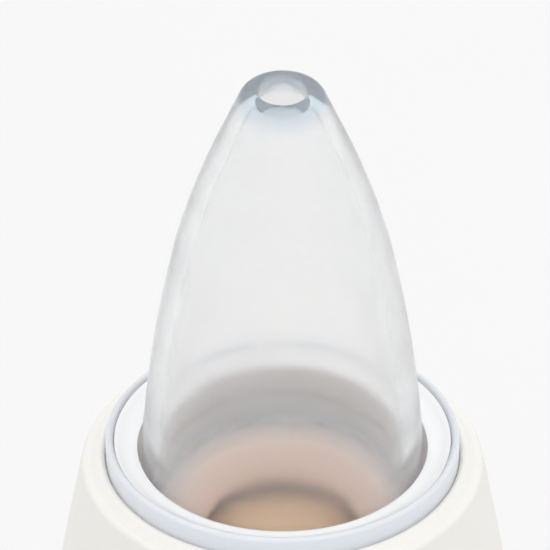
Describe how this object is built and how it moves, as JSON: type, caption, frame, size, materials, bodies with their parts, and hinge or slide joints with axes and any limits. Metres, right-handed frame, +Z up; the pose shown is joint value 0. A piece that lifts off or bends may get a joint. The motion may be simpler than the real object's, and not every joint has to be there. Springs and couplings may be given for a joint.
{
  "type": "nasal aspirator",
  "caption": "Hand-held electric nasal aspirator: clear soft tip in a dished ring over a lift-off cup head, barrel-shaped cream handle with press buttons, rear charging port and diaphragm pump.",
  "frame": {"origin": "middle of the foot, where it stands on a table", "axes": "+Z up along the body towards the tip, -Y is the side with the buttons"},
  "size_m": [0.044, 0.0439, 0.176],
  "materials": {
    "clear_silicone": "clear soft silicone, glossy",
    "clear_plastic": "clear moulded polycarbonate",
    "white_gloss": "glossy white moulded plastic",
    "cream_plastic": "satin cream moulded plastic",
    "button_plastic": "satin off-white plastic",
    "peach_silicone": "soft peach silicone",
    "cream_silicone": "soft cream silicone",
    "seal_silicone": "translucent white silicone",
    "foot_rubber": "grey rubber",
    "deck_plastic": "plain white moulded plastic",
    "screw_steel": "bright steel",
    "motor_steel": "zinc-plated steel",
    "magnet_ferrite": "dark ferrite",
    "rotor_copper": "copper-wound rotor",
    "board_laminate": "green circuit board",
    "chip_black": "black moulded plastic",
    "led_white": "white lamp",
    "battery_wrap": "shrink-wrapped cell",
    "pad_foam": "grey foam"
  },
  "bodies": {
    "handle": {"body_sleeve": "cream_plastic", "control_panel": "white_gloss", "deck_plate": "deck_plastic", "port_seal": "seal_silicone", "base_cap": "cream_plastic", "foot_ring": "foot_rubber", "base_screws": "screw_steel", "chassis": "deck_plastic", "deck_screws": "screw_steel", "main_board": "board_laminate", "board_screws": "screw_steel", "control_chip": "chip_black", "indicator_leds": "led_white", "light_pipes": "clear_plastic", "tact_switches": "motor_steel", "charge_board": "board_laminate", "usb_socket": "screw_steel", "usb_tongue": "chip_black", "battery_cell": "battery_wrap", "battery_pad": "pad_foam", "motor_can": "motor_steel", "motor_endcap": "deck_plastic", "motor_magnets": "magnet_ferrite", "pump_damper": "seal_silicone", "pump_housing": "deck_plastic", "diaphragm": "seal_silicone", "valve_plate": "deck_plastic", "umbrella_valves": "seal_silicone", "pump_head": "deck_plastic", "pump_screws": "screw_steel", "inlet_hose": "seal_silicone", "exhaust_muffler": "pad_foam"},
    "crank": {"motor_rotor": "rotor_copper", "motor_shaft": "screw_steel", "eccentric_wheel": "deck_plastic", "wobble_pin": "screw_steel"},
    "rocker": {"wobble_frame": "deck_plastic"},
    "power_key": {"power_button": "button_plastic", "power_plunger": "chip_black"},
    "level_key": {"level_button": "button_plastic", "level_plunger": "chip_black"},
    "port_flap": {"port_cover": "cream_silicone"},
    "head": {"head_cover": "cream_plastic", "collection_cup": "clear_plastic", "funnel_ring": "white_gloss", "tip_seat": "peach_silicone", "splash_guard": "peach_silicone", "funnel_seal": "seal_silicone"},
    "tip": {"nose_tip": "clear_silicone"}
  },
  "joints": [
    {"name": "tip_pull", "type": "slide", "parent": "head", "child": "tip", "axis": [0, 0, 1], "range_m": [0, 0.03]},
    {"name": "head_lift", "type": "slide", "parent": "handle", "child": "head", "axis": [0, 0, 1], "range_m": [0, 0.04]},
    {"name": "power_press", "type": "slide", "parent": "handle", "child": "power_key", "axis": [0, 1, 0], "range_m": [0, 0.0005], "stiffness_N_per_m": 2000},
    {"name": "level_press", "type": "slide", "parent": "handle", "child": "level_key", "axis": [0, 1, 0], "range_m": [0, 0.0005], "stiffness_N_per_m": 2000},
    {"name": "port_swing", "type": "hinge", "parent": "handle", "child": "port_flap", "pos_m": [0, 0.01952, 0.01033], "axis": [-1, 0, 0], "range_deg": [0, 95]},
    {"name": "motor_spin", "type": "hinge", "parent": "handle", "child": "crank", "pos_m": [0, 0, 0.07786], "axis": [0, 0, 1], "continuous": true},
    {"name": "wobble_spin", "type": "hinge", "parent": "crank", "child": "rocker", "pos_m": [0, 0, 0.08986], "axis": [0.1045, 0, 0.9945], "continuous": true}
  ],
  "couplings": [
    {"joint": "wobble_spin", "follows": "motor_spin", "ratio": -1}
  ]
}
